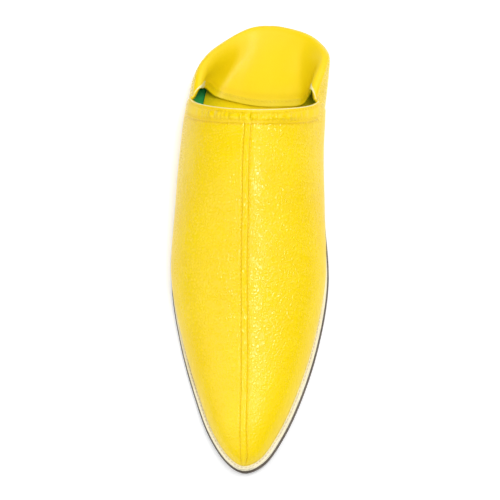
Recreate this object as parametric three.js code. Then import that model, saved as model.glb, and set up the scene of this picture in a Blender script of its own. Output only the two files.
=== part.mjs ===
// Pointed leather babouche slipper with its back quarter folded down over the heel seat.
// Millimetres, +Z up, toe towards -Y, inner (arch) side towards +X, sole on z = 0.

import * as THREE from 'three';

// Driving dimensions of the sole
const soleLength = 290;
const ballWidth = 97.5;
const outsoleThickness = 3;
const midsoleThickness = 3;
const insoleThickness = 2.2;
const toeSpring = 5;
const archRise = 1.4;

// How far each sole layer stands outside the upper's wall
const weltLedge = 2.4;
const outsoleLip = 0.8;

// Driving dimensions of the upper
const upperWall = 1.8;
const throatHeight = 54;
const throatDip = 16.8;
const sideSwell = 20;
const sideRidgeHeight = 28.6;
const heelFlare = 8;
const heelBelly = 10.5;
const foldRadius = 1.5;
const flapSetback = 12.5;

// Raised work on the upper
const seamWidth = 3.4;
const seamRise = 0.6;
const hemWidth = 8.6;
const hemRise = 0.6;
const flapHemWidth = 4;
const stepSlope = 0.6;

// Clearances between neighbouring pieces
const layerGap = 0.3;
const wallGap = 0.9;

// Mesh fineness
const stationsPerRow = 3;
const columnsPerRow = 4;
const soleCells = 4;
const flapSteps = 8;
const foldSteps = 5;
const normalRounds = 2;

// One row for each section of the last, from the toe tip to the back of the heel.
// along: share of the sole's length. inner and outer: shares of the ball width.
// crown: height over the sole as a share of the throat's height.
// swell: how far the wall's control point stands out, as a share of the side swell.
const lastRows = [
  { along: 0.000, inner: 0.000, outer: 0.000, crown: 0.00, swell: 0.00 },
  { along: 0.015, inner: 0.093, outer: 0.086, crown: 0.12, swell: 0.00 },
  { along: 0.069, inner: 0.200, outer: 0.212, crown: 0.25, swell: 0.02 },
  { along: 0.155, inner: 0.308, outer: 0.330, crown: 0.37, swell: 0.08 },
  { along: 0.276, inner: 0.406, outer: 0.458, crown: 0.53, swell: 0.22 },
  { along: 0.414, inner: 0.454, outer: 0.546, crown: 0.71, swell: 0.44 },
  { along: 0.569, inner: 0.405, outer: 0.518, crown: 0.86, swell: 0.72 },
  { along: 0.700, inner: 0.362, outer: 0.492, crown: 0.96, swell: 0.90 },
  { along: 0.800, inner: 0.351, outer: 0.459, crown: 1.00, swell: 1.00 },
  { along: 0.890, inner: 0.342, outer: 0.405, crown: 1.00, swell: 1.00 },
  { along: 0.957, inner: 0.275, outer: 0.262, crown: 1.00, swell: 1.00 },
  { along: 0.988, inner: 0.150, outer: 0.140, crown: 1.00, swell: 1.00 },
  { along: 1.000, inner: 0.000, outer: 0.000, crown: 1.00, swell: 1.00 },
];
const cornerRow = 8;

// One row for each section of the folded quarter, from the throat's corner to the heel's back.
// ridge: height of the fold as a share of its height at the corner.
// flareInner, flareOuter and belly: shares of the heel's flare and belly.
// turn: how far the leather turns over at the fold, in degrees.
const quarterRows = [
  { ridge: 1.00, flareInner: 0.20, flareOuter: 0.20, belly: 1.00, turn: 20 },
  { ridge: 0.93, flareInner: 0.70, flareOuter: 0.45, belly: 0.80, turn: 125 },
  { ridge: 0.70, flareInner: 1.30, flareOuter: 0.55, belly: 0.45, turn: 125 },
  { ridge: 0.42, flareInner: 1.00, flareOuter: 0.58, belly: 0.20, turn: 115 },
  { ridge: 0.30, flareInner: 0.76, flareOuter: 0.58, belly: 0.10, turn: 108 },
  { ridge: 0.25, flareInner: 0.58, flareOuter: 0.60, belly: 0.05, turn: 105 },
  { ridge: 0.24, flareInner: 0.50, flareOuter: 0.50, belly: 0.05, turn: 105 },
];

// One row for each bend of the flap's front edge, from the throat's corner to its middle.
// backInner and backOuter: shares of the flap's setback. across: share of the half width
// at the corner. height: share of the corner's height over the insole.
const flapEdgeRows = [
  { backInner: 0.00, backOuter: 0.00, across: 1.00, height: 1.00 },
  { backInner: 0.52, backOuter: 0.52, across: 0.94, height: 0.94 },
  { backInner: 0.66, backOuter: 1.00, across: 0.87, height: 0.52 },
  { backInner: 0.58, backOuter: 0.92, across: 0.72, height: 0.09 },
  { backInner: 0.54, backOuter: 0.68, across: 0.40, height: 0.00 },
  { backInner: 0.54, backOuter: 0.54, across: 0.00, height: 0.00 },
];

const midsoleBase = outsoleThickness + layerGap;
const midsoleTop = midsoleBase + midsoleThickness;
const upperBase = midsoleTop + layerGap;
const insoleTop = upperBase + insoleThickness;
const midsoleReach = upperWall + weltLedge;
const outsoleReach = midsoleReach + outsoleLip;
const insoleReach = -wallGap;
const flapRest = insoleTop + layerGap;

const rowCount = lastRows.length;
const loopRows = 2 * (rowCount - 1);
const cornerTurn = cornerRow / loopRows;
const lastingLength = soleLength - 2 * outsoleReach;
const lastingWidth = ballWidth - 2 * outsoleReach;

// Lasting line: the lining side of the upper's wall where it meets the sole, as one closed curve
function lastingPoint(row, side) {
  return new THREE.Vector3(side * lastingWidth, outsoleReach + row.along * lastingLength, 0);
}

const lastingCurve = new THREE.CatmullRomCurve3([
  ...lastRows.map((row) => lastingPoint(row, row.inner)),
  ...lastRows.slice(1, -1).reverse().map((row) => lastingPoint(row, -row.outer)),
], true, 'centripetal');

function footline(turn, reach) {
  const share = ((turn % 1) + 1) % 1;
  const point = lastingCurve.getPoint(share);
  const tangent = lastingCurve.getTangent(share);
  const outward = new THREE.Vector3(tangent.y, -tangent.x, 0).normalize();
  return { point: point.addScaledVector(outward, reach), outward };
}

// A smooth column of a table, read at a place that counts rows
function column(rows, key) {
  const curve = new THREE.CatmullRomCurve3(
    rows.map((row, index) => new THREE.Vector3(index, row[key], 0)), false, 'catmullrom', 0.5);
  return (place) => curve.getPoint(THREE.MathUtils.clamp(place / (rows.length - 1), 0, 1)).y;
}

const crownAt = column(lastRows, 'crown');
const swellAt = column(lastRows, 'swell');
const ridgeAt = column(quarterRows, 'ridge');
const flareInnerAt = column(quarterRows, 'flareInner');
const flareOuterAt = column(quarterRows, 'flareOuter');
const bellyAt = column(quarterRows, 'belly');
const turnAt = column(quarterRows, 'turn');

// The last's bottom: toe spring in front of the ball and a low arch behind it
const springShare = 0.33;
const archFrontShare = 0.47;
const archBackShare = 0.70;

function lift(y) {
  const along = y / soleLength;
  if (along < springShare) {
    return toeSpring * (1 - along / springShare) ** 2;
  }
  if (along > archFrontShare && along < archBackShare) {
    const share = (along - archFrontShare) / (archBackShare - archFrontShare);
    return archRise * Math.sin(Math.PI * share) ** 2;
  }
  return 0;
}

// Closed body from shared vertices and triangles, bent to the last's bottom
function solidGeometry(points, triangles) {
  const geometry = new THREE.BufferGeometry();
  const positions = points.flatMap((point) => [point.x, point.y, point.z + lift(point.y)]);
  const faces = triangles.filter(([a, b, c]) => a !== b && b !== c && c !== a);
  geometry.setAttribute('position', new THREE.Float32BufferAttribute(positions, 3));
  geometry.setIndex(faces.flat());
  geometry.computeVertexNormals();
  return geometry;
}

// Sole layers: one closed slab between two heights, with its edge at a reach from the lasting line
function soleLayer(reach, bottom, top) {
  const points = [];
  const triangles = [];
  const stations = (rowCount - 1) * stationsPerRow;
  const grid = [bottom, top].map((z) => {
    const rows = [];
    for (let i = 0; i <= stations; i += 1) {
      const turn = i / stations / 2;
      const inner = footline(turn, reach).point;
      const outer = footline(1 - turn, reach).point;
      const row = [];
      const cells = i === 0 || i === stations ? 0 : soleCells;
      for (let j = 0; j <= cells; j += 1) {
        const place = cells === 0 ? inner.clone() : inner.clone().lerp(outer, j / cells);
        row.push(points.length);
        points.push(place.setZ(z));
      }
      rows.push(row);
    }
    return rows;
  });
  const cell = (rows, i, j) => rows[i][Math.min(j, rows[i].length - 1)];
  for (let i = 0; i < stations; i += 1) {
    for (let j = 0; j < soleCells; j += 1) {
      const [low, high] = grid.map((rows) => [
        cell(rows, i, j), cell(rows, i, j + 1), cell(rows, i + 1, j + 1), cell(rows, i + 1, j)]);
      triangles.push([low[0], low[2], low[3]], [low[0], low[1], low[2]]);
      triangles.push([high[0], high[3], high[2]], [high[0], high[2], high[1]]);
    }
    const [low, high] = grid;
    const innerEdge = [low[i][0], low[i + 1][0], high[i + 1][0], high[i][0]];
    const outerEdge = [low[i].at(-1), low[i + 1].at(-1), high[i + 1].at(-1), high[i].at(-1)];
    triangles.push([innerEdge[0], innerEdge[1], innerEdge[2]], [innerEdge[0], innerEdge[2], innerEdge[3]]);
    triangles.push([outerEdge[0], outerEdge[2], outerEdge[1]], [outerEdge[0], outerEdge[3], outerEdge[2]]);
  }
  return solidGeometry(points, triangles);
}

// Vamp: arches from the inner to the outer lasting line, over the centre seam
const cornerShare = 0.42;
const wallShares = [0, 0.07, 0.14, 0.21, 0.28, 0.35, cornerShare];
const archShares = [...wallShares, 0.49, 0.56, 0.64, 0.72, 0.80, 0.88, 0.94];
const cornerIndex = wallShares.length - 1;

// The arch's control points: the side's pull, the shoulder's pull and the crown's place across
const sidePull = 0.35;
const shoulderPull = 0.98;
const shoulderAcross = 0.75;
const crownLean = 0.8;

// The seam keeps to the last small share of the arch, also where the arch is short
const seamRoom = 1 / 18;
const seamHalves = [seamWidth / 2 + stepSlope, seamWidth / 2];
const seamReach = seamHalves[0] / seamRoom;

function archSide(turn, side) {
  const base = footline(side > 0 ? turn : 1 - turn, 0);
  const mate = footline(side > 0 ? 1 - turn : turn, 0);
  const place = turn * loopRows;
  const height = throatHeight * crownAt(place);
  const swell = sideSwell * swellAt(place);
  const crown = base.point.clone().add(mate.point).multiplyScalar(0.5);
  crown.x *= crownLean;
  const low = base.point.clone().addScaledVector(base.outward, swell).setZ(sidePull * height);
  const high = crown.clone().lerp(base.point, shoulderAcross).setZ(shoulderPull * height);
  crown.z = height;
  const curve = new THREE.CubicBezierCurve3(base.point, low, high, crown);
  return { curve, height, reach: 3 * crown.distanceTo(high) };
}

// The centre of the topline lies nearer the toe than its corners, as the height over them grows
const dipStart = 0.62;
const dipEnd = 1.12;
const cornerHeightShare = 0.53;
const dipPower = 0.8;

function dip(turn, heightShare) {
  const place = (turn * loopRows) / cornerRow;
  const along = THREE.MathUtils.smoothstep(place, dipStart, dipEnd);
  const full = THREE.MathUtils.smoothstep(1, dipStart, dipEnd);
  const over = Math.max(heightShare - cornerHeightShare, 0) / (1 - cornerHeightShare);
  return (throatDip * along / full) * over ** dipPower;
}

function archPoints(turn) {
  const sides = [1, -1].map((side) => {
    const { curve, height, reach } = archSide(turn, side);
    const seamShares = seamHalves.map((half) => 1 - half / Math.max(reach, seamReach));
    return [...archShares, ...seamShares, 1].map((share) => {
      const point = curve.getPoint(share);
      point.y -= dip(turn, point.z / Math.max(height, 1));
      point.z += upperBase;
      return point;
    });
  });
  return [...sides[0], ...sides[1].slice(0, -1).reverse()];
}

const seamIndex = archShares.length + seamHalves.length;
const archCount = 2 * seamIndex + 1;

function crownPoint(turn) {
  return archPoints(turn)[seamIndex];
}

// The turn whose arch crosses the centre seam at a distance from the topline
const searchSteps = 24;

function turnBelowTopline(distance) {
  const topline = crownPoint(cornerTurn);
  let [near, far] = [cornerTurn, cornerTurn / 2];
  for (let step = 0; step < searchSteps; step += 1) {
    const middle = (near + far) / 2;
    if (crownPoint(middle).distanceTo(topline) < distance) {
      near = middle;
    } else {
      far = middle;
    }
  }
  return near;
}

// Stations of the vamp: even turns to the band, then the band's edge, its step and the topline
const bandStations = 2;

function vampTurns() {
  const bandTurns = [hemWidth + stepSlope, hemWidth].map(turnBelowTopline);
  const turns = [];
  const steps = cornerRow * stationsPerRow - bandStations;
  for (let i = 0; i <= steps; i += 1) {
    turns.push((bandTurns[0] * i) / steps);
  }
  return [...turns, bandTurns[1], (bandTurns[1] + cornerTurn) / 2, cornerTurn];
}

// Front edge of the folded flap, from the inner corner of the throat to the outer one
function flapEdgeCurve(innerCorner, outerCorner) {
  const middle = innerCorner.clone().lerp(outerCorner, 0.5);
  const place = (corner, back) => (row) => new THREE.Vector3(
    THREE.MathUtils.lerp(middle.x, corner.x, row.across),
    corner.y + flapSetback * row[back],
    flapRest + (corner.z - flapRest) * row.height,
  );
  const inner = flapEdgeRows.map(place(innerCorner, 'backInner'));
  const outer = flapEdgeRows.map(place(outerCorner, 'backOuter')).reverse().slice(1);
  return new THREE.CatmullRomCurve3([...inner, ...outer], false, 'centripetal');
}

// Near the throat's corner the edge only curls over: a wider bend and a short tip
const curlEnd = 1.2;
const cornerCurl = 1.3;
const curlTip = 1.5;

// The wall's bulge and the flap's handles, as shares of the ridge's height, the flare and the span
const bellyLevel = 0.42;
const bellyFlare = 0.5;
const foldHandle = 0.3;
const edgeHandle = 0.45;
const hemLimit = 0.5;
const slopeLimit = 0.1;

// Width around the last's middle over which the inner side's flare passes into the outer side's
const flareBlend = 20;

// One column of the quarter: up the wall, over the fold and down the flap to its front edge
function quarterColumn(turn, edgePoint) {
  const side = turn <= 0.5 ? 1 : -1;
  const half = side > 0 ? turn : 1 - turn;
  const place = ((half - cornerTurn) / (0.5 - cornerTurn)) * (quarterRows.length - 1);
  const { point: base, outward } = footline(turn, 0);
  const innerShare = THREE.MathUtils.clamp(base.x / flareBlend + 0.5, 0, 1);
  const flare = heelFlare * THREE.MathUtils.lerp(flareOuterAt(place), flareInnerAt(place), innerShare);
  const ridge = sideRidgeHeight * ridgeAt(place);
  const up = new THREE.Vector3(0, 0, 1);
  const folded = THREE.MathUtils.smoothstep(place, 0, curlEnd);
  const radius = foldRadius * THREE.MathUtils.lerp(cornerCurl, 1, folded);
  const wallTop = base.clone().addScaledVector(outward, flare).setZ(ridge - radius);
  const bulge = flare * bellyFlare + heelBelly * bellyAt(place);
  const belly = base.clone().addScaledVector(outward, bulge).setZ(ridge * bellyLevel);
  const wall = new THREE.QuadraticBezierCurve3(base, belly, wallTop);
  const points = wallShares.map((share) => wall.getPoint(share / cornerShare));
  const bend = THREE.MathUtils.degToRad(turnAt(place));
  const centre = wallTop.clone().addScaledVector(outward, -radius);
  for (let i = 1; i <= foldSteps; i += 1) {
    const angle = (bend * i) / foldSteps;
    points.push(centre.clone()
      .addScaledVector(outward, radius * Math.cos(angle))
      .addScaledVector(up, radius * Math.sin(angle)));
  }
  points.forEach((point) => { point.z += upperBase; });
  const start = points.at(-1).clone();
  const heading = outward.clone().multiplyScalar(-Math.sin(bend)).addScaledVector(up, Math.cos(bend));
  const end = start.clone().addScaledVector(heading, curlTip).lerp(edgePoint, folded);
  const span = start.distanceTo(end);
  const backward = start.clone().setZ(end.z).sub(end).normalize();
  const flat = start.clone().sub(end).normalize().lerp(backward, folded);
  const flap = new THREE.CubicBezierCurve3(
    start,
    start.clone().addScaledVector(heading, span * foldHandle),
    end.clone().addScaledVector(flat, span * edgeHandle),
    end,
  );
  const hemShare = 1 - Math.min(flapHemWidth / Math.max(span, 1), hemLimit);
  const slopeShare = hemShare - Math.min(stepSlope / Math.max(span, 1), slopeLimit);
  for (let i = 1; i <= flapSteps; i += 1) {
    points.push(flap.getPoint((slopeShare * i) / flapSteps));
  }
  const hemPlaces = [hemShare, (1 + hemShare) / 2, 1];
  points.push(...hemPlaces.map((share) => flap.getPoint(share)));
  return points;
}

// Upper: the vamp's arches and the quarter's columns make one sheet, which then gets its wall
const bandInset = 1;
const flapHemRows = 3;

function upperSheet() {
  const points = [];
  const rises = [];
  const add = (point, rise) => {
    points.push(point);
    rises.push(rise);
    return points.length - 1;
  };
  const turns = vampTurns();
  const last = turns.length - 1;
  const vamp = turns.map((turn, i) => {
    const arch = archPoints(turn);
    const tip = i === 0 ? add(arch[0], 0) : 0;
    return arch.map((point, j) => {
      const fromCentre = Math.abs(j - seamIndex);
      const onSeam = fromCentre <= 1 && i > 1 && i < last - bandStations;
      const overCorner = Math.min(j, archCount - 1 - j) >= cornerIndex - bandInset;
      const onBand = i >= last - bandStations && overCorner;
      return i === 0 ? tip : add(point, Math.max(onSeam ? seamRise : 0, onBand ? hemRise : 0));
    });
  });
  const topline = vamp[last];
  const wallRows = wallShares.length;
  const columnRows = wallRows + foldSteps + flapSteps + flapHemRows;
  const innerCorner = points[topline[cornerIndex]];
  const outerCorner = points[topline[archCount - 1 - cornerIndex]];
  const edge = flapEdgeCurve(innerCorner, outerCorner);
  const columns = [];
  const columnCount = 2 * (rowCount - 1 - cornerRow) * columnsPerRow;
  for (let k = 0; k <= columnCount; k += 1) {
    const share = k / columnCount;
    if (k === 0 || k === columnCount) {
      columns.push(Array.from({ length: columnRows }, (_, r) => {
        const j = Math.min(r, cornerIndex);
        return topline[k === 0 ? j : archCount - 1 - j];
      }));
    } else {
      const turn = THREE.MathUtils.lerp(cornerTurn, 1 - cornerTurn, share);
      const column = quarterColumn(turn, edge.getPointAt(share));
      columns.push(column.map((point, r) => add(point, r >= columnRows - flapHemRows ? hemRise : 0)));
    }
  }
  const quads = [];
  for (let i = 0; i < last; i += 1) {
    for (let j = 0; j < archCount - 1; j += 1) {
      quads.push([vamp[i][j], vamp[i + 1][j], vamp[i + 1][j + 1], vamp[i][j + 1]]);
    }
  }
  for (let k = 0; k < columnCount; k += 1) {
    for (let r = 0; r < columnRows - 1; r += 1) {
      quads.push([columns[k][r], columns[k + 1][r], columns[k + 1][r + 1], columns[k][r + 1]]);
    }
  }
  const base = [
    ...vamp.map((row) => row[0]),
    ...columns.slice(1).map((row) => row[0]),
    ...vamp.slice(1, -1).reverse().map((row) => row.at(-1)),
  ];
  const free = [
    ...topline.slice(cornerIndex, archCount - cornerIndex),
    ...columns.slice(1, -1).reverse().map((row) => row.at(-1)),
  ];
  return { points, rises, quads, base, free };
}

function sheetNormals(points, triangles) {
  const normals = points.map(() => new THREE.Vector3());
  const [u, v, area] = [new THREE.Vector3(), new THREE.Vector3(), new THREE.Vector3()];
  triangles.forEach(([a, b, c]) => {
    u.subVectors(points[b], points[a]);
    v.subVectors(points[c], points[a]);
    area.crossVectors(u, v);
    [a, b, c].forEach((index) => normals[index].add(area));
  });
  let smooth = normals.map((normal) => normal.normalize());
  for (let round = 0; round < normalRounds; round += 1) {
    const sums = smooth.map((normal) => normal.clone());
    triangles.forEach(([a, b, c]) => {
      sums[a].add(smooth[b]).add(smooth[c]);
      sums[b].add(smooth[c]).add(smooth[a]);
      sums[c].add(smooth[a]).add(smooth[b]);
    });
    smooth = sums.map((normal) => normal.normalize());
  }
  return smooth;
}

// The sheet is the lining; the leather's outer face stands a wall's thickness and any rise above it
function thickSheet({ points, rises, quads, base, free }) {
  const triangles = quads
    .flatMap(([a, b, c, d]) => [[a, b, c], [a, c, d]])
    .filter(([a, b, c]) => a !== b && b !== c && c !== a);
  const normals = sheetNormals(points, triangles);
  base.forEach((index) => normals[index].setZ(0).normalize());
  const count = points.length;
  const outer = points.map((point, i) => point.clone().addScaledVector(normals[i], upperWall + rises[i]));
  const lining = triangles.map(([a, b, c]) => [a + count, c + count, b + count]);
  const rims = [base, free].flatMap((loop) => loop.flatMap((a, i) => {
    const b = loop[(i + 1) % loop.length];
    return [[a, a + count, b + count], [a, b + count, b]];
  }));
  return solidGeometry([...outer, ...points], [...triangles, ...lining, ...rims]);
}

// Materials
const yellowLeather = { color: 0xf2cf10, roughness: 0.38, metalness: 0 };
const naturalLeather = { color: 0xd8bd8a, roughness: 0.7, metalness: 0 };
const darkSole = { color: 0x2c241e, roughness: 0.65, metalness: 0 };

function piece(name, geometry, finish) {
  const mesh = new THREE.Mesh(geometry, new THREE.MeshStandardMaterial(finish));
  mesh.name = name;
  return mesh;
}

// Assembly
const slipper = new THREE.Group();
slipper.add(piece('outsole', soleLayer(outsoleReach, 0, outsoleThickness), darkSole));
slipper.add(piece('midsole', soleLayer(midsoleReach, midsoleBase, midsoleTop), naturalLeather));
slipper.add(piece('insole', soleLayer(insoleReach, upperBase, insoleTop), yellowLeather));
slipper.add(piece('upper', thickSheet(upperSheet()), yellowLeather));

const bounds = new THREE.Box3().setFromObject(slipper);
slipper.position.set(-(bounds.min.x + bounds.max.x) / 2, -(bounds.min.y + bounds.max.y) / 2, 0);

export default slipper;
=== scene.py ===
"""A pointed yellow leather babouche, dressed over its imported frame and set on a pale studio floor."""

import logging
import math
from dataclasses import dataclass, field
from enum import Enum
from typing import Callable, Optional, Sequence

import bmesh
import bpy
import numpy as np
from mathutils import Matrix, Vector

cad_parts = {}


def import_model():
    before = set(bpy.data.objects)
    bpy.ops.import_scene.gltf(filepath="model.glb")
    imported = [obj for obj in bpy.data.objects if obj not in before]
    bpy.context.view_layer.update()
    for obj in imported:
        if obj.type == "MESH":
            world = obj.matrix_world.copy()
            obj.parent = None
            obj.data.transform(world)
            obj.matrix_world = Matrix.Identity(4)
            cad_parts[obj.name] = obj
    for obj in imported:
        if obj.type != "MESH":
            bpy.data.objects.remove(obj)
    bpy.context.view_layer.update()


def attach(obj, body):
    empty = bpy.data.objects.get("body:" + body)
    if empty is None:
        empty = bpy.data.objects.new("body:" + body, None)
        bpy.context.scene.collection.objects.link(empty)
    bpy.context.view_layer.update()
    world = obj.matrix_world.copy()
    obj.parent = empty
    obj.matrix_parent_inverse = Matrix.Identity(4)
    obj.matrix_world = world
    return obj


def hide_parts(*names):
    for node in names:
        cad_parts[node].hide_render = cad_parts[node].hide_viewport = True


LOG = logging.getLogger("babouche")
MM = 0.001
MERGE_DISTANCE = 0.00001
MIX_FACTOR, MIX_FIRST, MIX_SECOND, MIX_RESULT = 0, 6, 7, 2


# Curves and tables


def smoothstep(value: float, low: float, high: float) -> float:
    """Smooth ramp from 0 at low to 1 at high."""
    share = min(max((value - low) / (high - low), 0.0), 1.0)
    return share * share * (3.0 - 2.0 * share)


def mix(a: float, b: float, share: float) -> float:
    """Straight blend from a to b."""
    return a + (b - a) * share


def hump(value: float, centre: float, width: float) -> float:
    """Soft round bump of height 1 at a centre, with a half width."""
    return math.exp(-(((value - centre) / width) ** 2))


class Spacing(Enum):
    """How a spline spaces its points."""

    EVEN = "even"
    CENTRIPETAL = "centripetal"


@dataclass
class Spline:
    """A smooth curve through points, open or closed, in millimetres."""

    points: Sequence[Vector]
    closed: bool = False
    spacing: Spacing = Spacing.CENTRIPETAL

    def at(self, share: float) -> Vector:
        """Point on the curve.

        Args:
            share: 0 at the first point, 1 at the last (or back at the first when closed).

        Returns:
            The point.
        """
        count = len(self.points)
        spans = count if self.closed else count - 1
        place = min(max(share, 0.0), 1.0) * spans
        index = int(math.floor(place))
        weight = place - index
        if not self.closed and index >= spans:
            index, weight = spans - 1, 1.0
        p1, p2 = self.points[index % count], self.points[(index + 1) % count]
        if self.closed or index > 0:
            p0 = self.points[(index - 1) % count]
        else:
            p0 = 2 * p1 - p2
        if self.closed or index + 2 < count:
            p3 = self.points[(index + 2) % count]
        else:
            p3 = 2 * p2 - p1
        start, end = self._slopes(p0, p1, p2, p3)
        square, cube = weight * weight, weight ** 3
        return (p1 * (2 * cube - 3 * square + 1) + start * (cube - 2 * square + weight)
                + p2 * (3 * square - 2 * cube) + end * (cube - square))

    def _slopes(self, p0: Vector, p1: Vector, p2: Vector, p3: Vector) -> tuple[Vector, Vector]:
        """Slopes at both ends of the span from p1 to p2."""
        if self.spacing is Spacing.EVEN:
            return (p2 - p0) * 0.5, (p3 - p1) * 0.5
        d1 = math.sqrt((p2 - p1).length) or 1.0
        d0 = math.sqrt((p1 - p0).length) or d1
        d2 = math.sqrt((p3 - p2).length) or d1
        start = (p1 - p0) / d0 - (p2 - p0) / (d0 + d1) + (p2 - p1) / d1
        end = (p2 - p1) / d1 - (p3 - p1) / (d1 + d2) + (p3 - p2) / d2
        return start * d1, end * d1

    def tangent(self, share: float) -> Vector:
        """Unit direction of travel at a share."""
        step = 0.0001
        return (self.at(share + step) - self.at(share - step)).normalized()

    def even(self, samples: int = 200) -> Callable[[float], Vector]:
        """The same curve, read by its length.

        Args:
            samples: how many short pieces the length is measured in.

        Returns:
            A function from a share of the length to a point.
        """
        shares = np.linspace(0.0, 1.0, samples + 1)
        points = [self.at(float(share)) for share in shares]
        lengths = np.cumsum([0.0] + [(b - a).length for a, b in zip(points, points[1:])])
        return lambda share: self.at(float(np.interp(share * lengths[-1], lengths, shares)))


@dataclass
class Column:
    """One column of a table, read smoothly between its rows."""

    values: Sequence[float]

    def __post_init__(self) -> None:
        """Makes the spline through the rows."""
        points = [Vector((index, value, 0.0)) for index, value in enumerate(self.values)]
        self.spline = Spline(points, spacing=Spacing.EVEN)

    def at(self, place: float) -> float:
        """Value at a place that counts rows."""
        return self.spline.at(place / (len(self.values) - 1)).y


def bezier(points: Sequence[Vector], share: float) -> Vector:
    """Point on a curve with two, three or four control points.

    Args:
        points: the control points.
        share: 0 at the first, 1 at the last.

    Returns:
        The point.
    """
    row = list(points)
    while len(row) > 1:
        row = [a.lerp(b, share) for a, b in zip(row, row[1:])]
    return row[0]


# The last and the sole's outline


@dataclass
class Last:
    """The form the slipper is made over: its outline, its heights and its bottom, in millimetres."""

    sole_length: float = 290.0
    ball_width: float = 97.5
    toe_spring: float = 5.0
    arch_rise: float = 1.4
    wall: float = 1.8
    welt_ledge: float = 2.4
    outsole_lip: float = 0.8
    outsole_thickness: float = 3.0
    midsole_thickness: float = 3.0
    insole_thickness: float = 2.2
    layer_gap: float = 0.3
    wall_gap: float = 0.9
    insole_spread: float = 1.6
    insole_bedding: float = 0.4
    spring_start: float = 0.33
    arch_front: float = 0.47
    arch_back: float = 0.70
    shift: tuple[float, float] = (4.0189, -145.3887)
    # along, inner, outer, crown, swell
    rows: tuple[tuple[float, ...], ...] = (
        (0.000, 0.000, 0.000, 0.00, 0.00),
        (0.015, 0.093, 0.086, 0.12, 0.00),
        (0.069, 0.200, 0.212, 0.25, 0.02),
        (0.155, 0.308, 0.330, 0.37, 0.08),
        (0.276, 0.406, 0.458, 0.53, 0.22),
        (0.414, 0.454, 0.546, 0.71, 0.44),
        (0.569, 0.405, 0.518, 0.86, 0.72),
        (0.700, 0.362, 0.492, 0.96, 0.90),
        (0.800, 0.351, 0.459, 1.00, 1.00),
        (0.890, 0.342, 0.405, 1.00, 1.00),
        (0.957, 0.275, 0.262, 1.00, 1.00),
        (0.988, 0.150, 0.140, 1.00, 1.00),
        (1.000, 0.000, 0.000, 1.00, 1.00),
    )
    corner_row: int = 8

    def __post_init__(self) -> None:
        """Works out the layers' heights, the reaches and the lasting line."""
        self.midsole_base = self.outsole_thickness + self.layer_gap
        self.midsole_top = self.midsole_base + self.midsole_thickness
        self.upper_base = self.midsole_top + self.layer_gap
        self.insole_top = self.upper_base + self.insole_thickness
        self.midsole_reach = self.wall + self.welt_ledge
        self.outsole_reach = self.midsole_reach + self.outsole_lip
        self.loop_rows = 2 * (len(self.rows) - 1)
        self.corner_turn = self.corner_row / self.loop_rows
        length = self.sole_length - 2 * self.outsole_reach
        width = self.ball_width - 2 * self.outsole_reach
        inner = [Vector((row[1] * width, self.outsole_reach + row[0] * length, 0)) for row in self.rows]
        outer = [Vector((-row[2] * width, self.outsole_reach + row[0] * length, 0)) for row in self.rows]
        self.line = Spline(inner + outer[1:-1][::-1], closed=True)
        self.crown = Column([row[3] for row in self.rows])
        self.swell = Column([row[4] for row in self.rows])

    def footline(self, turn: float, reach: float) -> tuple[Vector, Vector]:
        """A point at a reach outside the lasting line.

        Args:
            turn: share of the way round, from the toe along the inner side.
            reach: how far outside the line.

        Returns:
            The point and the outward direction.
        """
        share = turn % 1.0
        tangent = self.line.tangent(share)
        outward = Vector((tangent.y, -tangent.x, 0.0)).normalized()
        return self.line.at(share) + outward * reach, outward

    def lift(self, y: float) -> float:
        """Height of the last's bottom over the floor, from the toe's distance."""
        along = y / self.sole_length
        if along < self.spring_start:
            return self.toe_spring * (1 - along / self.spring_start) ** 2
        if self.arch_front < along < self.arch_back:
            share = (along - self.arch_front) / (self.arch_back - self.arch_front)
            return self.arch_rise * math.sin(math.pi * share) ** 2
        return 0.0

    def world(self, point: Vector) -> Vector:
        """A point of the last, bent to its bottom, in metres in the frame."""
        lifted = Vector((point.x + self.shift[0], point.y + self.shift[1], point.z + self.lift(point.y)))
        return lifted * MM


# Mesh helpers


def numbered_grid(bm: bmesh.types.BMesh, columns: int,
                  rows: int) -> dict[tuple[int, int], bmesh.types.BMVert]:
    """Adds a flat grid.

    Args:
        bm: the mesh.
        columns: cells one way.
        rows: cells the other way.

    Returns:
        Its vertices, each under its two indices.
    """
    made = bmesh.ops.create_grid(bm, x_segments=columns, y_segments=rows, size=1.0)
    return {(round((vert.co.x + 1) / 2 * columns), round((vert.co.y + 1) / 2 * rows)): vert
            for vert in made["verts"]}


def finished_object(name: str, bm: bmesh.types.BMesh,
                    materials: Sequence[bpy.types.Material]) -> bpy.types.Object:
    """Turns a bmesh into a linked, smooth-shaded object.

    Args:
        name: the object's name.
        bm: the mesh, which is freed.
        materials: its materials, in slot order.

    Returns:
        The object, at the origin.
    """
    mesh = bpy.data.meshes.new(name)
    bm.to_mesh(mesh)
    bm.free()
    for material in materials:
        mesh.materials.append(material)
    mesh.polygons.foreach_set("use_smooth", [True] * len(mesh.polygons))
    made = bpy.data.objects.new(name, mesh)
    bpy.context.scene.collection.objects.link(made)
    return made


def report(piece: bpy.types.Object) -> None:
    """Logs a piece's name and face count."""
    LOG.info("%s: %d faces", piece.name, len(piece.data.polygons))


# Finishes


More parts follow.
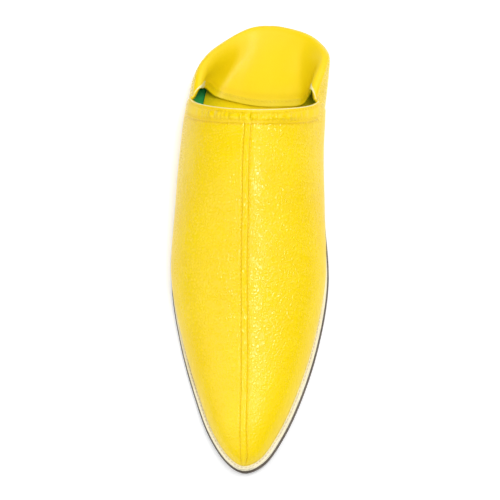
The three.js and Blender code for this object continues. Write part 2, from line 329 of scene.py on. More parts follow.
class Nodes:
    """A small hand for laying out shader nodes in a tree."""

    def __init__(self, tree: bpy.types.NodeTree) -> None:
        """Keeps the tree."""
        self.tree = tree

    def add(self, kind: str, values: Optional[dict] = None, **settings: object) -> bpy.types.Node:
        """Adds a node.

        Args:
            kind: the node's type.
            values: input sockets' names or numbers and their values.
            **settings: the node's own properties.

        Returns:
            The node.
        """
        node = self.tree.nodes.new(kind)
        for key, value in settings.items():
            setattr(node, key, value)
        for key, value in (values or {}).items():
            if isinstance(value, bpy.types.NodeSocket):
                self.tree.links.new(value, node.inputs[key])
            else:
                node.inputs[key].default_value = value
        return node

    def math(self, operation: str, *values: object, clamp: bool = False) -> bpy.types.NodeSocket:
        """Adds a maths node and returns its output."""
        node = self.add("ShaderNodeMath", dict(enumerate(values)), operation=operation, use_clamp=clamp)
        return node.outputs[0]

    def blend(self, factor: object, first: object, second: object) -> bpy.types.NodeSocket:
        """Adds a colour mix and returns its output."""
        node = self.tree.nodes.new("ShaderNodeMix")
        node.data_type = "RGBA"
        for index, value in ((MIX_FACTOR, factor), (MIX_FIRST, first), (MIX_SECOND, second)):
            if isinstance(value, bpy.types.NodeSocket):
                self.tree.links.new(value, node.inputs[index])
            else:
                node.inputs[index].default_value = value
        return node.outputs[MIX_RESULT]

    def amount(self, name: str) -> bpy.types.NodeSocket:
        """Reads a number that is kept on the mesh's vertices."""
        return self.add("ShaderNodeAttribute", attribute_name=name).outputs["Fac"]

    def group(self, tree: bpy.types.NodeTree, vector: bpy.types.NodeSocket, name: str,
              value: float) -> bpy.types.Node:
        """Adds a shared node group with its place in space and its one number.

        Args:
            tree: the group.
            vector: the place.
            name: the number's input.
            value: the number.

        Returns:
            The group's node.
        """
        node = self.tree.nodes.new("ShaderNodeGroup")
        node.node_tree = tree
        self.tree.links.new(vector, node.inputs["Vector"])
        node.inputs[name].default_value = value
        return node


def new_group(name: str, inputs: dict[str, float],
              outputs: Sequence[str]) -> tuple[bpy.types.NodeTree, Nodes]:
    """Starts a shader node group.

    Args:
        name: the group's name.
        inputs: float inputs and their defaults.
        outputs: names of the float outputs.

    Returns:
        The group's tree and a hand for its nodes.
    """
    tree = bpy.data.node_groups.new(name, "ShaderNodeTree")
    tree.interface.new_socket("Vector", in_out="INPUT", socket_type="NodeSocketVector")
    for key, value in inputs.items():
        inlet = tree.interface.new_socket(key, in_out="INPUT", socket_type="NodeSocketFloat")
        inlet.default_value = value
    for key in outputs:
        tree.interface.new_socket(key, in_out="OUTPUT", socket_type="NodeSocketFloat")
    return tree, Nodes(tree)


def pebble_group() -> bpy.types.NodeTree:
    """Builds the pebbled leather grain: rounded cells with creases between them, and fine pores."""
    warp_scale, warp_reach = 220.0, 0.0016
    dome_edge, crease_slope = 0.32, 5.0
    pore_scale, pore_height = 2600.0, 0.06
    tree, nodes = new_group("pebbled grain", {"Cell": 0.002}, ["Height", "Crease"])
    inlet = tree.nodes.new("NodeGroupInput")
    outlet = tree.nodes.new("NodeGroupOutput")
    place = inlet.outputs["Vector"]
    scale = nodes.math("DIVIDE", 1.0, inlet.outputs["Cell"])
    warp = nodes.add("ShaderNodeTexNoise", {"Vector": place, "Scale": warp_scale, "Detail": 2.0})
    shake = nodes.add("ShaderNodeVectorMath", {0: warp.outputs["Color"], 1: (warp_reach,) * 3},
                      operation="MULTIPLY")
    moved = nodes.add("ShaderNodeVectorMath", {0: place, 1: shake.outputs[0]}, operation="ADD")
    cells = nodes.add("ShaderNodeTexVoronoi", {"Vector": moved.outputs[0], "Scale": scale,
                                               "Randomness": 0.9},
                      feature="DISTANCE_TO_EDGE").outputs["Distance"]
    dome = nodes.add("ShaderNodeMapRange", {"Value": cells, "From Max": dome_edge},
                     interpolation_type="SMOOTHSTEP").outputs[0]
    pores = nodes.add("ShaderNodeTexNoise", {"Vector": place, "Scale": pore_scale, "Detail": 3.0})
    height = nodes.math("MULTIPLY_ADD", pores.outputs[0], pore_height, dome)
    crease = nodes.math("SUBTRACT", 1.0, nodes.math("MULTIPLY", cells, crease_slope, clamp=True))
    tree.links.new(height, outlet.inputs["Height"])
    tree.links.new(crease, outlet.inputs["Crease"])
    return tree


def fibre_group() -> bpy.types.NodeTree:
    """Builds a fine cut-leather fibre: short streaks and mottling for edges, linings and soles."""
    mottle_scale = 60.0
    tree, nodes = new_group("leather fibre", {"Grain": 900.0}, ["Height", "Mottle"])
    inlet = tree.nodes.new("NodeGroupInput")
    outlet = tree.nodes.new("NodeGroupOutput")
    place = inlet.outputs["Vector"]
    fine = nodes.add("ShaderNodeTexNoise", {"Vector": place, "Scale": inlet.outputs["Grain"],
                                            "Detail": 4.0, "Roughness": 0.65})
    broad = nodes.add("ShaderNodeTexNoise", {"Vector": place, "Scale": mottle_scale, "Detail": 3.0})
    tree.links.new(fine.outputs[0], outlet.inputs["Height"])
    tree.links.new(broad.outputs[0], outlet.inputs["Mottle"])
    return tree


class Finishes:
    """The shared node groups, built once."""

    def __init__(self) -> None:
        """Builds both groups."""
        self.pebble = pebble_group()
        self.fibre = fibre_group()


def new_material(name: str) -> tuple[bpy.types.Material, Nodes, bpy.types.Node, bpy.types.NodeSocket]:
    """Starts a material.

    Args:
        name: the material's name.

    Returns:
        The material, a hand for its nodes, its shader and the place on the object.
    """
    material = bpy.data.materials.new(name)
    material.use_nodes = True
    nodes = Nodes(material.node_tree)
    place = nodes.add("ShaderNodeTexCoord").outputs["Object"]
    return material, nodes, material.node_tree.nodes["Principled BSDF"], place


def finish_material(nodes: Nodes, shader: bpy.types.Node, colour: bpy.types.NodeSocket,
                    rough: bpy.types.NodeSocket, height: bpy.types.NodeSocket, relief: float,
                    strength: float) -> None:
    """Joins colour, roughness and bump to the shader.

    Args:
        nodes: a hand for the material's nodes.
        shader: its shader.
        colour: the colour.
        rough: the roughness.
        height: the height of the relief.
        relief: how deep the relief is, in metres.
        strength: how strongly it shows.
    """
    bump = nodes.add("ShaderNodeBump", {"Height": height, "Distance": relief, "Strength": strength})
    links = nodes.tree.links
    links.new(colour, shader.inputs["Base Color"])
    links.new(rough, shader.inputs["Roughness"])
    links.new(bump.outputs["Normal"], shader.inputs["Normal"])


@dataclass(frozen=True)
class GlossyLeather:
    """Glossy pebbled upper leather, with painted shade in its grain's creases and along its grooves."""

    name: str
    light: tuple[float, float, float]
    deep: tuple[float, float, float]
    roughness: float = 0.13
    specular: float = 0.36
    coat: float = 0.02
    coat_roughness: float = 0.22
    cell: float = 0.002
    relief: float = 0.00022
    bump: float = 0.8
    grained: bool = True
    cloud_scale: float = 28.0
    cloud_roughness: float = 0.12
    # painted shade in the grain's creases: how strongly it darkens, and how dark against the deep colour
    crease_shadow_strength: float = 0.36
    crease_shade: float = 0.86
    crease_roughness: float = 0.1
    # painted shade along the grooves: how strongly it darkens, and the colour it darkens to against the
    # deep colour
    groove_shadow_strength: float = 0.5
    groove_shade: tuple[float, float, float] = (0.8, 0.66, 0.3)
    pucker_scale: tuple[float, float, float] = (400.0, 100.0, 150.0)
    pucker_height: float = 14.0
    plain_roughness: float = 0.3

    def make(self, finishes: Finishes) -> bpy.types.Material:
        """Builds the material.

        Args:
            finishes: the shared node groups.

        Returns:
            The material.
        """
        material, nodes, shader, place = new_material(self.name)
        grain = nodes.group(finishes.pebble, place, "Cell", self.cell)
        clouds = nodes.add("ShaderNodeTexNoise", {"Vector": place, "Scale": self.cloud_scale,
                                                  "Detail": 3.0}).outputs[0]
        tone = nodes.math("MULTIPLY_ADD", clouds, 2.0, -0.5, clamp=True)
        colour = nodes.blend(tone, (*self.deep, 1), (*self.light, 1))
        if self.grained:
            colour, height, rough = self._worked(nodes, place, grain, colour)
        else:
            height = grain.outputs["Height"]
            rough = nodes.math("MULTIPLY_ADD", clouds, self.cloud_roughness, self.roughness)
        finish_material(nodes, shader, colour, rough, height, self.relief, self.bump)
        shader.inputs["Specular IOR Level"].default_value = self.specular
        shader.inputs["Coat Weight"].default_value = self.coat
        shader.inputs["Coat Roughness"].default_value = self.coat_roughness
        return material

    def _worked(self, nodes: Nodes, place: bpy.types.NodeSocket, grain: bpy.types.Node,
                colour: bpy.types.NodeSocket) -> tuple[bpy.types.NodeSocket, ...]:
        """Colour, height and roughness where the mesh says how much grain, groove and band there is; the
        colour takes painted shade in the grain's creases and along the grooves.
        """
        amount, groove, band = (nodes.amount(name) for name in ("grain", "groove", "band"))
        # painted shade: the colour darkens in the grain's creases, more where there is more grain
        painted_crease_shadow = nodes.math("MULTIPLY", nodes.math("MULTIPLY", grain.outputs["Crease"], amount),
                             self.crease_shadow_strength)
        colour = nodes.blend(painted_crease_shadow, colour, (*(self.crease_shade * part for part in self.deep), 1))
        # painted shade: the colour darkens where the groove mask says, along the seam, the band's foot,
        # the stitch rows and the flap's fold line
        sunk = [part * shade for part, shade in zip(self.deep, self.groove_shade)]
        colour = nodes.blend(nodes.math("MULTIPLY", groove, self.groove_shadow_strength), colour, (*sunk, 1))
        along = nodes.add("ShaderNodeMapping", {"Vector": place, "Scale": self.pucker_scale})
        folds = nodes.add("ShaderNodeTexNoise", {"Vector": along.outputs[0], "Scale": 1.0, "Detail": 1.5})
        pucker = nodes.math("MULTIPLY", nodes.math("MULTIPLY", folds.outputs[0], band), self.pucker_height)
        height = nodes.math("MULTIPLY_ADD", grain.outputs["Height"], amount, pucker)
        plain = nodes.math("SUBTRACT", 1.0, nodes.math("MAXIMUM", amount, band))
        smooth = nodes.math("MULTIPLY_ADD", plain, self.plain_roughness, self.roughness)
        rough = nodes.math("MULTIPLY_ADD", grain.outputs["Crease"], self.crease_roughness, smooth)
        return colour, height, rough


@dataclass(frozen=True)
class MatteLeather:
    """Matte leather, thread or rubber with a fine fibre."""

    name: str
    light: tuple[float, float, float]
    deep: tuple[float, float, float]
    roughness: float = 0.7
    roughness_spread: float = 0.2
    grain: float = 900.0
    relief: float = 0.00015
    bump: float = 0.7
    specular: float = 0.25

    def make(self, finishes: Finishes) -> bpy.types.Material:
        """Builds the material.

        Args:
            finishes: the shared node groups.

        Returns:
            The material.
        """
        material, nodes, shader, place = new_material(self.name)
        fibre = nodes.group(finishes.fibre, place, "Grain", self.grain)
        tone = nodes.math("MULTIPLY_ADD", fibre.outputs["Mottle"], 1.6, -0.3, clamp=True)
        colour = nodes.blend(tone, (*self.deep, 1), (*self.light, 1))
        rough = nodes.math("MULTIPLY_ADD", fibre.outputs["Height"], self.roughness_spread,
                           self.roughness - self.roughness_spread / 2)
        finish_material(nodes, shader, colour, rough, fibre.outputs["Height"], self.relief, self.bump)
        shader.inputs["Specular IOR Level"].default_value = self.specular
        return material


YELLOW = GlossyLeather("yellow leather", (0.985, 0.725, 0.001), (0.95, 0.66, 0.0))
INSOLE_YELLOW = GlossyLeather("insole leather", (0.98, 0.72, 0.004), (0.95, 0.67, 0.001),
                              roughness=0.45, coat=0.0, specular=0.08, relief=0.0001, grained=False)
LINING = MatteLeather("green lining", (0.035, 0.46, 0.14), (0.015, 0.33, 0.09), roughness=0.6)
CUT_EDGE = MatteLeather("cut edge", (0.95, 0.88, 0.50), (0.88, 0.78, 0.38),
                        roughness=0.7, grain=1500.0)
WELT = MatteLeather("welt leather", (0.95, 0.91, 0.72), (0.89, 0.82, 0.58), roughness=0.65)
THREAD = MatteLeather("yellow thread", (0.99, 0.76, 0.03), (0.97, 0.72, 0.01),
                      roughness=0.5, grain=2600.0)
WELT_THREAD = MatteLeather("welt thread", (0.84, 0.76, 0.58), (0.70, 0.61, 0.42),
                           roughness=0.55, grain=2600.0)
DARK_SOLE = MatteLeather("dark sole", (0.17, 0.14, 0.11), (0.10, 0.08, 0.065),
                         roughness=0.6, grain=700.0)


# The upper


LEATHER_FACE, LINING_FACE, CUT_FACE, HEM_FACE = range(4)


@dataclass(frozen=True)
class Crease:
    """One soft trough or ridge laid on the vamp or the flap, in the shoe's own millimetres."""

    along: float
    across: float
    reach_along: float
    reach_across: float
    depth: float
    angle: float = 0.0

    def at(self, point: Vector) -> float:
        """Height of the crease at a point, negative in a trough."""
        dy, dx = point.y - self.along, point.x - self.across
        turn = math.radians(self.angle)
        u = dx * math.cos(turn) + dy * math.sin(turn)
        v = dy * math.cos(turn) - dx * math.sin(turn)
        return self.depth * math.exp(-((u / self.reach_across) ** 2) - ((v / self.reach_along) ** 2))


@dataclass
class UpperForm:
    """The upper as one sheet: vamp arches with a centre seam, then the quarter folded into a flap."""

    last: Last
    throat_height: float = 54.0
    throat_dip: float = 16.8
    side_swell: float = 20.0
    side_ridge_height: float = 28.6
    heel_flare: float = 8.0
    heel_belly: float = 10.5
    fold_radius: float = 1.5
    flap_setback: float = 12.5
    seam_reach: float = 15.0
    seam_rise: float = 0.6
    hem_width: float = 8.6
    hem_rise: float = 0.6
    flap_hem_width: float = 4.0
    hem_taper: float = 0.6
    corner_share: float = 0.42
    side_pull: float = 0.35
    shoulder_pull: float = 0.98
    shoulder_across: float = 0.75
    crown_lean: float = 0.8
    dip_start: float = 0.62
    dip_end: float = 1.12
    corner_height_share: float = 0.53
    dip_power: float = 0.8
    curl_end: float = 1.2
    corner_curl: float = 1.3
    curl_tip: float = 1.5
    belly_level: float = 0.42
    belly_flare: float = 0.5
    fold_handle: float = 0.3
    edge_handle: float = 0.45
    flare_blend: float = 20.0
    vamp_steps: int = 84
    band_steps: int = 26
    band_margin: float = 0.3
    wall_steps: int = 14
    arch_steps: int = 30
    quarter_steps: int = 144
    fold_steps: int = 10
    flap_steps: int = 26
    hem_steps: int = 8
    halvings: int = 24
    opening: tuple[float, float] = (-0.12, 0.4)
    seam_distances: tuple[float, ...] = (5.0, 4.2, 3.5, 3.0, 2.6, 2.3, 2.05, 1.8, 1.55, 1.2, 0.8, 0.4)
    # ridge, flare on the inner side, flare on the outer side, belly, turn in degrees
    quarter_rows: tuple[tuple[float, ...], ...] = (
        (1.00, 0.20, 0.20, 1.00, 20.0),
        (0.93, 0.70, 0.45, 0.80, 125.0),
        (0.70, 1.30, 0.55, 0.45, 125.0),
        (0.42, 1.00, 0.58, 0.20, 115.0),
        (0.30, 0.76, 0.58, 0.10, 108.0),
        (0.25, 0.58, 0.60, 0.05, 105.0),
        (0.24, 0.50, 0.50, 0.05, 105.0),
    )
    # set back on the inner side, set back on the outer side, across, height
    flap_edge_rows: tuple[tuple[float, ...], ...] = (
        (0.00, 0.00, 1.00, 1.00),
        (0.52, 0.52, 0.94, 0.94),
        (0.66, 1.00, 0.87, 0.52),
        (0.58, 0.92, 0.72, 0.09),
        (0.54, 0.68, 0.40, 0.00),
        (0.54, 0.54, 0.00, 0.00),
    )

    def __post_init__(self) -> None:
        """Makes the table columns and the lists of stations."""
        self.ridge, self.flare_inner, self.flare_outer, self.belly, self.bend = (
            Column([row[key] for row in self.quarter_rows]) for key in range(5))
        self.band_turn = self._turn_below_topline(self.hem_width)
        near = mix(self.band_turn, self.last.corner_turn, -self.band_margin)
        steps = [near * i / self.vamp_steps for i in range(self.vamp_steps)]
        band = [mix(near, self.last.corner_turn, i / self.band_steps) for i in range(self.band_steps + 1)]
        self.turns = steps + band
        self.wall_shares = [self.corner_share * i / self.wall_steps for i in range(self.wall_steps + 1)]

    @property
    def seam_column(self) -> int:
        """Column of the vamp's mesh that lies on the centre seam."""
        return self.wall_steps + self.arch_steps + len(self.seam_distances)

    def band_share(self, turn: float) -> float:
        """Place across the band, 0 at its lower edge and 1 at the topline."""
        return (turn - self.band_turn) / (self.last.corner_turn - self.band_turn)

    def band_station(self, share: float) -> int:
        """Station at a share of the band, from its lower edge to the topline."""
        steps = (share + self.band_margin) / (1 + self.band_margin) * self.band_steps
        return self.vamp_steps + round(steps)

    def _arch(self, turn: float, side: int) -> tuple[list[Vector], float, float]:
        """Half an arch over the last: its control points, its height and its last handle's length."""
        last = self.last
        base, outward = last.footline(turn if side > 0 else 1 - turn, 0)
        mate, _ = last.footline(1 - turn if side > 0 else turn, 0)
        place = turn * last.loop_rows
        height = self.throat_height * last.crown.at(place)
        crown = (base + mate) * 0.5
        crown.x *= self.crown_lean
        low = base + outward * self.side_swell * last.swell.at(place)
        low.z = self.side_pull * height
        high = crown.lerp(base, self.shoulder_across)
        high.z = self.shoulder_pull * height
        crown.z = height
        return [base, low, high, crown], height, 3 * (crown - high).length

    def _dip(self, turn: float, height_share: float) -> float:
        """How far the topline is drawn towards the toe over the corner."""
        place = turn / self.last.corner_turn
        along, whole = (smoothstep(spot, self.dip_start, self.dip_end) for spot in (place, 1.0))
        over = max(height_share - self.corner_height_share, 0.0) / (1 - self.corner_height_share)
        return self.throat_dip * along / whole * over ** self.dip_power

    def _arch_point(self, turn: float, arch: tuple[list[Vector], float, float], share: float) -> Vector:
        """Point of the vamp on a half arch."""
        controls, height, _ = arch
        point = bezier(controls, share)
        point.y -= self._dip(turn, point.z / max(height, 1.0))
        point.z += self.last.upper_base
        return point

    def _turn_below_topline(self, distance: float) -> float:
        """The turn whose arch crosses the seam at a distance from the topline."""
        near, far = self.last.corner_turn, self.last.corner_turn / 2
        top = self._arch_point(near, self._arch(near, 1), 1.0)
        for _ in range(self.halvings):
            middle = (near + far) / 2
            if (self._arch_point(middle, self._arch(middle, 1), 1.0) - top).length < distance:
                near = middle
            else:
                far = middle
        return near

    def vamp(self) -> list[list[tuple[Vector, float]]]:
        """Vamp stations: rows of points with their distance from the seam, inner side to outer side."""
        rows = []
        for turn in self.turns:
            halves = []
            for side in (1, -1):
                arch = self._arch(turn, side)
                edge = 1 - self.seam_distances[0] / max(arch[2], self.seam_reach)
                shares = self.wall_shares + [
                    mix(self.corner_share, edge, i / self.arch_steps) for i in range(1, self.arch_steps)]
                scale = (1 - edge) / self.seam_distances[0]
                shares += [1 - d * scale for d in self.seam_distances] + [1.0]
                halves.append([(self._arch_point(turn, arch, share), (1 - share) / scale)
                               for share in shares])
            rows.append(halves[0] + halves[1][:-1][::-1])
        return rows

    def _flap_edge(self, inner: Vector, outer: Vector) -> Callable[[float], Vector]:
        """Front edge of the flap between the throat's corners, read by its length."""
        middle = inner.lerp(outer, 0.5)
        rest = self.last.insole_top + self.last.layer_gap

        def place(corner: Vector, row: tuple[float, ...], back: int) -> Vector:
            """One bend of the edge on one side."""
            return Vector((mix(middle.x, corner.x, row[2]), corner.y + self.flap_setback * row[back],
                           rest + (corner.z - rest) * row[3]))

        inner_points = [place(inner, row, 0) for row in self.flap_edge_rows]
        outer_points = [place(outer, row, 1) for row in self.flap_edge_rows][::-1][1:]
        return Spline(inner_points + outer_points).even()

    def _quarter_column(self, turn: float, edge_point: Vector) -> list[Vector]:
        """Up the wall, over the fold and down the flap to its front edge."""
        last = self.last
        back = (min(turn, 1 - turn) - last.corner_turn) / (0.5 - last.corner_turn)
        place = back * (len(self.quarter_rows) - 1)
        base, outward = last.footline(turn, 0)
        inner_share = min(max(base.x / self.flare_blend + 0.5, 0.0), 1.0)
        flare = self.heel_flare * mix(self.flare_outer.at(place), self.flare_inner.at(place), inner_share)
        ridge = self.side_ridge_height * self.ridge.at(place)
        up = Vector((0, 0, 1))
        folded = smoothstep(place, 0, self.curl_end)
        opened = smoothstep(place, *self.opening)
        radius = self.fold_radius * mix(self.corner_curl, 1.0, folded) * opened
        top = base + outward * flare
        top.z = ridge - radius
        belly = base + outward * (flare * self.belly_flare + self.heel_belly * self.belly.at(place))
        belly.z = ridge * self.belly_level
        points = [bezier((base, belly, top), share / self.corner_share) for share in self.wall_shares]
        bend = math.radians(self.bend.at(place))
        centre = top - outward * radius
        for i in range(1, self.fold_steps + 1):
            angle = bend * i / self.fold_steps
            points.append(centre + outward * radius * math.cos(angle) + up * radius * math.sin(angle))
        for point in points:
            point.z += last.upper_base
        start = points[-1].copy()
        heading = up * math.cos(bend) - outward * math.sin(bend)
        end = (start + heading * self.curl_tip * opened).lerp(edge_point, folded)
        span = (start - end).length
        backward = Vector((start.x, start.y, end.z)) - end
        flat = (start - end).normalized().lerp(backward.normalized(), folded)
        controls = (start, start + heading * span * self.fold_handle,
                    end + flat * span * self.edge_handle, end)
        hem = 1 - min(self.flap_hem_width / max(span, 1.0), 0.5)
        shares = [hem * i / self.flap_steps for i in range(1, self.flap_steps + 1)]
        shares += [mix(hem, 1.0, i / self.hem_steps) for i in range(1, self.hem_steps + 1)]
        return points + [bezier(controls, share) for share in shares]

    def quarter(self, vamp: list[list[tuple[Vector, float]]]) -> list[list[Vector]]:
        """Quarter columns, from the inner corner of the throat round the heel to the outer corner.

        Args:
            vamp: the vamp's stations, whose last one is the topline.

        Returns:
            Columns of points, the first and last lying on the vamp's last station.
        """
        topline = [point for point, _ in vamp[-1]]
        edge = self._flap_edge(topline[self.wall_steps], topline[-1 - self.wall_steps])
        rows = self.wall_steps + 1 + self.fold_steps + self.flap_steps + self.hem_steps
        columns = []
        for k in range(self.quarter_steps + 1):
            share = k / self.quarter_steps
            if k in (0, self.quarter_steps):
                line = topline if k == 0 else topline[::-1]
                columns.append([line[min(r, self.wall_steps)].copy() for r in range(rows)])
            else:
                turn = mix(self.last.corner_turn, 1 - self.last.corner_turn, share)
                columns.append(self._quarter_column(turn, edge(share)))
        return columns


@dataclass(frozen=True)
class VampWork:
    """Raised and sunk work on the vamp, in millimetres and in shares of the band under the topline.

    A pair is a place and a half width, or where a change starts and ends.
    """

    ridge_edge: tuple[float, float] = (1.35, 2.0)
    shoulder: tuple[float, float] = (3.3, 0.9)
    shoulder_rise: float = 0.22
    groove: tuple[float, float] = (2.1, 0.5)
    groove_depth: float = 0.24
    # how strongly painted shade darkens the seam's grooves
    seam_groove_shadow: float = 0.7
    toe_run: float = 0.03
    band_edge: float = 0.05
    band_seam: tuple[float, float] = (0.0, 2.2)
    band_seam_rise: float = 0.1
    band_rows: tuple[float, float] = (0.13, 0.80)
    row_width: float = 0.07
    row_depth: float = 0.3
    # how strongly painted shade darkens the band's stitch rows
    stitch_row_shadow: float = 0.6
    # place and half width of the painted shade line along the band's foot
    band_foot: tuple[float, float] = (-0.07, 0.07)
    pucker_place: tuple[float, float] = (0.46, 0.26)
    pucker_from: float = 0.1
    pucker_rise: float = 0.28
    pucker_gloss: tuple[float, float] = (0.46, 0.3)
    wall_grain: float = 0.35
    toe_grain: float = 0.55
    band_grain: float = 0.3
    toe_grain_run: tuple[float, float] = (20.0, 120.0)
    gather_waves: tuple[float, float, float] = (1.5, 0.37, 0.21)
    gather_shift: float = 1.4
    gather_swing: float = 0.35
    gather_phase: float = 1.1

    def pucker(self, across: float) -> float:
        """Height of the band's uneven gathers, from -1 to 1."""
        fine, middle, broad = (across * wave for wave in self.gather_waves)
        swing = 1 - self.gather_swing * (1 - math.sin(broad + self.gather_phase))
        return math.sin(fine + self.gather_shift * math.sin(middle)) * swing


@dataclass(frozen=True)
class FlapWork:
    """Raised and sunk work on the flap, in rows of the mesh and shares of its width."""

    corner_run: float = 0.08
    hem_rise: float = 0.45
    row: int = 3
    row_width: float = 0.8
    row_depth: float = 0.15
    # how strongly painted shade darkens the flap's stitch row
    stitch_row_shadow: float = 0.3
    # painted shade along the flap's fold line: its place and half width in rows, and how strongly it
    # darkens
    fold_line: tuple[float, float] = (-0.5, 0.9)
    fold_line_shadow: float = 0.5
    taper_run: tuple[float, float] = (0.1, 0.2)
    wall_grain: float = 0.75
    flap_grain: float = 0.16


@dataclass
class StitchRow:
    """A line of sewing: points on the leather and the direction out of it."""

    points: list[Vector]
    normals: list[Vector]


@dataclass
class Upper:
    """The hollow leather upper with its seam, hems, creases, lining and cut edges."""

    form: UpperForm
    vamp_work: VampWork = VampWork()
    flap_work: FlapWork = FlapWork()
    normal_rounds: int = 6
    foot_rows: int = 4
    flap_from: float = 225.0
    band_rim: tuple[float, float] = (18.0, 32.0)
    # columns from a corner of the throat, and how many rows deep the cut edge shows there
    cut_strips: tuple[tuple[int, int], ...] = ((10, 12), (14, 8), (17, 4))
    hem_clear: int = 17
    hem_rows: int = 2
    first_stitch: int = 6
    seam_stop: float = -0.1
    sewn_groove: int = 5
    flap_sewing: tuple[float, float] = (0.1, 0.9)
    # along, across, reach along, reach across, depth, angle in degrees
    creases: tuple[Crease, ...] = (
        Crease(150, -22, 16, 9, -0.5, 20),
        Crease(176, 17, 12, 8, -0.45, -18),
        Crease(196, -16, 7, 12, -0.5, 8),
        Crease(199, 16, 6, 11, -0.45, -6),
        Crease(120, 24, 20, 8, -0.4, -12),
        Crease(95, -20, 18, 8, -0.35, 14),
        Crease(258, -8, 9, 14, -0.25, 10),
        Crease(266, 14, 12, 8, 0.5, -25),
        Crease(250, 12, 5, 10, 0.5, 8),
    )
    sewing: dict[str, StitchRow] = field(default_factory=dict)

    def _relief(self, i: int, j: int, point: Vector, distance: float) -> tuple[float, float, float]:
        """Rise of the vamp's leather at a station, with its grain amount and the painted shade of its
        grooves.
        """
        form, work = self.form, self.vamp_work
        turn = form.turns[i]
        across = min(j, 2 * form.seam_column - j)
        band = form.band_share(turn)
        over = smoothstep(across, form.wall_steps - 2, form.wall_steps + 1)
        on_band = smoothstep(band, -work.band_edge, work.band_edge) * over
        toe = smoothstep(turn, 0.0, work.toe_run)
        seam = (1 - smoothstep(distance, *work.ridge_edge)) * form.seam_rise
        seam += work.shoulder_rise * hump(distance, *work.shoulder)
        groove = hump(distance, *work.groove)
        seam -= work.groove_depth * groove
        banded = form.hem_rise + work.band_seam_rise * hump(distance, *work.band_seam)
        rise = mix(seam * toe, banded, on_band)
        # from here on the groove mask sets painted shade, not depth
        groove *= work.seam_groove_shadow * toe * (1 - on_band)
        rows = sum(hump(band, row, work.row_width) for row in work.band_rows) * over
        rise -= work.row_depth * rows
        if on_band > work.pucker_from:
            rise += work.pucker_rise * work.pucker(point.x) * hump(band, *work.pucker_place) * on_band
        # painted shade also along the band's foot and its stitch rows
        groove = max(groove, hump(band, *work.band_foot) * over, work.stitch_row_shadow * rows)
        creases = sum(crease.at(point) for crease in self.creases if crease.along < self.flap_from)
        rise += creases * toe * (1 - on_band)
        topside = smoothstep(across, form.wall_steps * 0.5, form.wall_steps * 1.5)
        towards_toe = mix(work.toe_grain, 1.0, smoothstep(point.y, *work.toe_grain_run))
        grain = mix(work.wall_grain, towards_toe * mix(1.0, work.band_grain, on_band), topside)
        return rise, grain, groove

    def build(self, finishes: Finishes) -> bpy.types.Object:
        """Builds and dresses the upper.

        Args:
            finishes: the shared node groups.

        Returns:
            The finished piece.
        """
        form, last, work = self.form, self.form.last, self.flap_work
        vamp = form.vamp()
        quarter = form.quarter(vamp)
        bm = bmesh.new()
        rise_layer = bm.verts.layers.float.new("rise")
        grain_layer = bm.verts.layers.float.new("grain")
        # the groove layer keeps where painted shade darkens the colour
        groove_shadow_layer = bm.verts.layers.float.new("groove")
        band_layer = bm.verts.layers.float.new("band")
        base_layer = bm.verts.layers.float.new("base")
        thin_layer = bm.verts.layers.deform.new()
        column_rows = len(quarter[0])
        hem_start = column_rows - 1 - form.hem_steps

        def mark(vert: bmesh.types.BMVert, rise: float, grain: float, groove: float, row: int) -> None:
            """Keeps a vertex's relief, masks, nearness to the wall's foot and full thickness."""
            vert[rise_layer], vert[grain_layer], vert[groove_shadow_layer] = rise, grain, groove
            vert[base_layer] = max(1 - row / self.foot_rows, 0.0)
            vert[thin_layer][0] = 1.0

        vamp_verts = numbered_grid(bm, len(vamp) - 1, len(vamp[0]) - 1)
        for (i, j), vert in vamp_verts.items():
            point, distance = vamp[i][j]
            near = min(j, len(vamp[0]) - 1 - j)
            mark(vert, *self._relief(i, j, point, distance), row=near)
            gloss = hump(form.band_share(form.turns[i]), *self.vamp_work.pucker_gloss)
            vert[band_layer] = gloss * smoothstep(near, *self.band_rim)
            vert.co = last.world(point)
        quarter_verts = numbered_grid(bm, len(quarter) - 1, column_rows - 1)
        for (k, r), vert in quarter_verts.items():
            point = quarter[k][r]
            share = k / (len(quarter) - 1)
            inward = min(share, 1 - share)
            near = smoothstep(inward, 0.0, work.corner_run)
            hem = smoothstep(r, hem_start - 1, hem_start + 1) * near
            flap = smoothstep(r, form.wall_steps, form.wall_steps + form.fold_steps)
            row = hump(r, hem_start + work.row, work.row_width) * near
            taper = smoothstep(r, hem_start, column_rows - 1) * smoothstep(inward, *work.taper_run)
            rise = work.hem_rise * form.hem_rise * hem - work.row_depth * row
            rise -= form.hem_taper * last.wall * taper
            if form.wall_steps + form.fold_steps < r <= hem_start:
                creases = (crease.at(point) for crease in self.creases if crease.along > self.flap_from)
                rise += sum(creases) * near
            # painted shade along the flap's fold line and its stitch row
            line = hump(r, hem_start + work.fold_line[0], work.fold_line[1])
            groove = max(work.fold_line_shadow * line, work.stitch_row_shadow * row) * near
            mark(vert, rise, mix(work.wall_grain, work.flap_grain, flap), groove, row=r)
            vert[thin_layer][0] = 1 - form.hem_taper * taper
            vert.co = last.world(point)
        self._cut_edges(vamp_verts, quarter_verts)
        self._offset(bm, vamp_verts, rise_layer, base_layer)
        self._keep_sewing(vamp_verts, quarter_verts, hem_start)
        bmesh.ops.remove_doubles(bm, verts=bm.verts[:], dist=MERGE_DISTANCE)
        yellow = YELLOW.make(finishes)
        upper = finished_object("babouche_upper", bm, [
            yellow, LINING.make(finishes), CUT_EDGE.make(finishes), yellow, yellow, yellow])
        upper.vertex_groups.new(name="thickness")
        wall = upper.modifiers.new("wall", "SOLIDIFY")
        wall.vertex_group = "thickness"
        wall.thickness = last.wall * MM
        wall.offset = -1.0
        wall.material_offset = LINING_FACE - LEATHER_FACE
        wall.material_offset_rim = CUT_FACE - LEATHER_FACE
        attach(upper, "root")
        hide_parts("upper")
        report(upper)
        return upper

